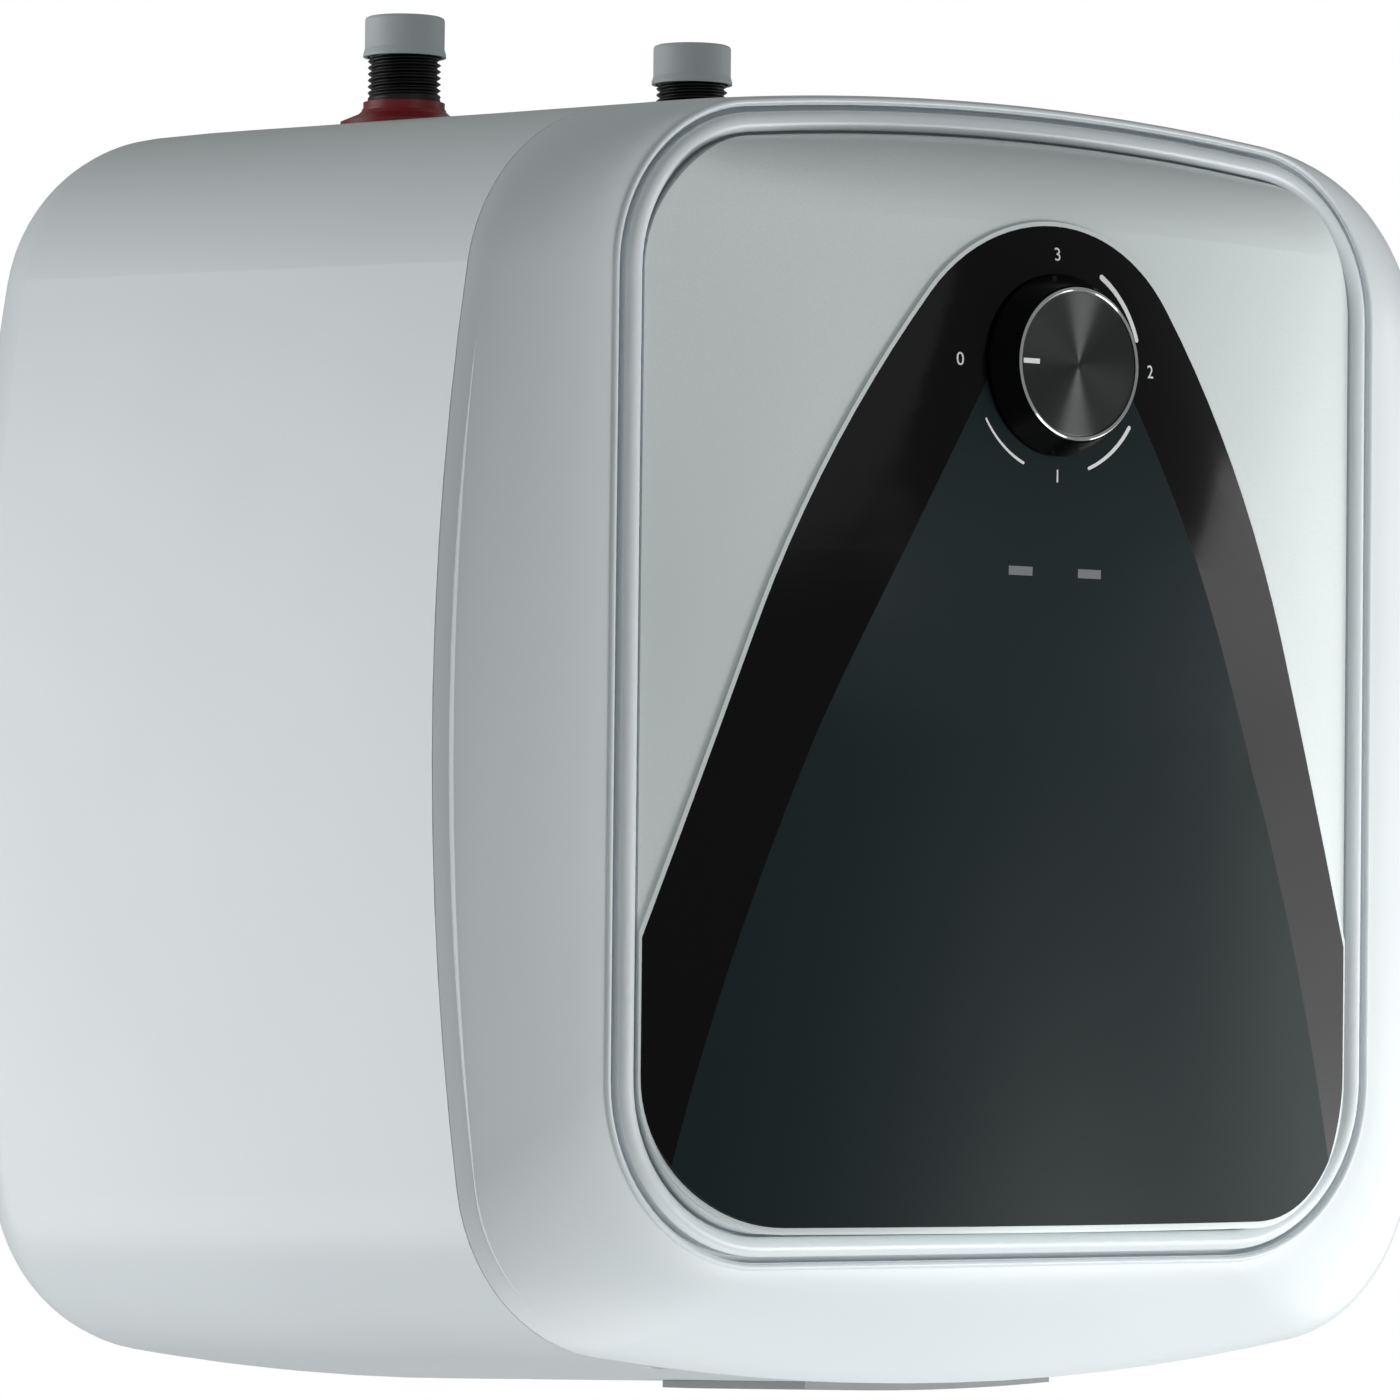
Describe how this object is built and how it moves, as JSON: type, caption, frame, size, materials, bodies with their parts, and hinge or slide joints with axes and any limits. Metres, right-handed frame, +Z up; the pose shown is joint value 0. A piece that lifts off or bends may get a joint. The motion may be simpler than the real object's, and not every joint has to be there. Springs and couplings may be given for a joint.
{
  "type": "water heater",
  "caption": "Wall-hung kitchen water heater: square moulded case, domed control panel with a turning thermostat knob, capped pipe nipples on top and a slotted wall rail behind.",
  "frame": {"origin": "midway between the two slots of the hanger rail, on the rail's wall face", "axes": "+Z up, +Y into the wall, -Y out of the control panel, +X to the right for someone who faces the panel"},
  "size_m": [0.362, 0.2986, 0.3907],
  "materials": {
    "case_white": "smooth white moulded plastic with a soft gloss",
    "plate_silver": "pale silver painted plastic",
    "panel_black": "near black gloss plastic",
    "lens_clear": "pale translucent plastic",
    "knob_black": "black plastic",
    "knob_metal": "dark metal disc, spun finish",
    "knob_chrome": "bright ring",
    "mark_white": "white mark",
    "board_green": "circuit board",
    "led_clear": "lamp body",
    "steel": "zinc plated steel",
    "thermostat_plastic": "phenolic moulding",
    "brass": "plain brass",
    "copper": "drawn copper tube",
    "tank_enamel": "enamelled steel tank",
    "rubber_black": "moulded rubber",
    "element_metal": "metal sheathed heater",
    "anode_metal": "cast magnesium rod",
    "foam": "expanded foam",
    "pipe_metal": "plain steel pipe with a cut thread",
    "tube_plastic": "plain pipe plastic",
    "collar_red": "dark red plastic",
    "collar_blue": "blue plastic",
    "cap_grey": "grey protective plastic",
    "service_grey": "dark grey plastic",
    "terminal_white": "white terminal plastic",
    "lead_brown": "brown insulated wire",
    "lead_blue": "blue insulated wire",
    "lead_green": "green insulated wire"
  },
  "bodies": {
    "root": {"rear_case": "case_white", "front_cover": "case_white", "trim_ring": "case_white", "face_plate": "plate_silver", "control_panel": "panel_black", "power_lens": "lens_clear", "heating_lens": "lens_clear", "indicator_board": "board_green", "indicator_leds": "led_clear", "board_screws": "steel", "plate_screws": "steel", "cover_screws": "steel", "thermostat_plate": "steel", "thermostat_body": "thermostat_plastic", "thermostat_tabs": "brass", "thermostat_screws": "steel", "capillary_tube": "copper", "sensing_bulb": "copper", "thermowell": "copper", "inner_tank": "tank_enamel", "flange_gasket": "rubber_black", "flange_plate": "steel", "flange_nuts": "steel", "heating_element": "element_metal", "anode_rod": "anode_metal", "anode_nut": "steel", "safety_cutout": "thermostat_plastic", "cutout_clip": "steel", "earth_stud": "brass", "earth_nut": "brass", "insulation_front": "foam", "insulation_rear": "foam", "tank_bracket": "steel", "hanger_rail": "steel", "rail_nuts": "steel", "wall_spacers": "rubber_black", "hot_nipple": "pipe_metal", "cold_nipple": "pipe_metal", "hot_outlet_tube": "tube_plastic", "cold_dip_tube": "tube_plastic", "hot_collar": "collar_red", "cold_collar": "collar_blue", "cord_bush": "service_grey", "cord_bush_nut": "service_grey", "service_plate": "service_grey", "service_screws": "steel", "terminal_block": "terminal_white", "terminal_screws": "steel", "live_leads": "lead_brown", "neutral_lead": "lead_blue", "earth_lead": "lead_green"},
    "knob": {"knob_body": "knob_black", "knob_rim": "knob_chrome", "knob_face": "knob_metal", "knob_pointer": "mark_white", "thermostat_spindle": "steel"},
    "hot_cap": {"hot_cap": "cap_grey"},
    "cold_cap": {"cold_cap": "cap_grey"}
  },
  "joints": [
    {"name": "thermostat_knob", "type": "hinge", "parent": "root", "child": "knob", "pos_m": [0, -0.29, -0.0007], "axis": [0, -1, 0], "range_deg": [0, 270]},
    {"name": "hot_cap_lift", "type": "slide", "parent": "root", "child": "hot_cap", "axis": [0, 0, 1], "range_m": [0, 0.03]},
    {"name": "cold_cap_lift", "type": "slide", "parent": "root", "child": "cold_cap", "axis": [0, 0, 1], "range_m": [0, 0.03]}
  ]
}
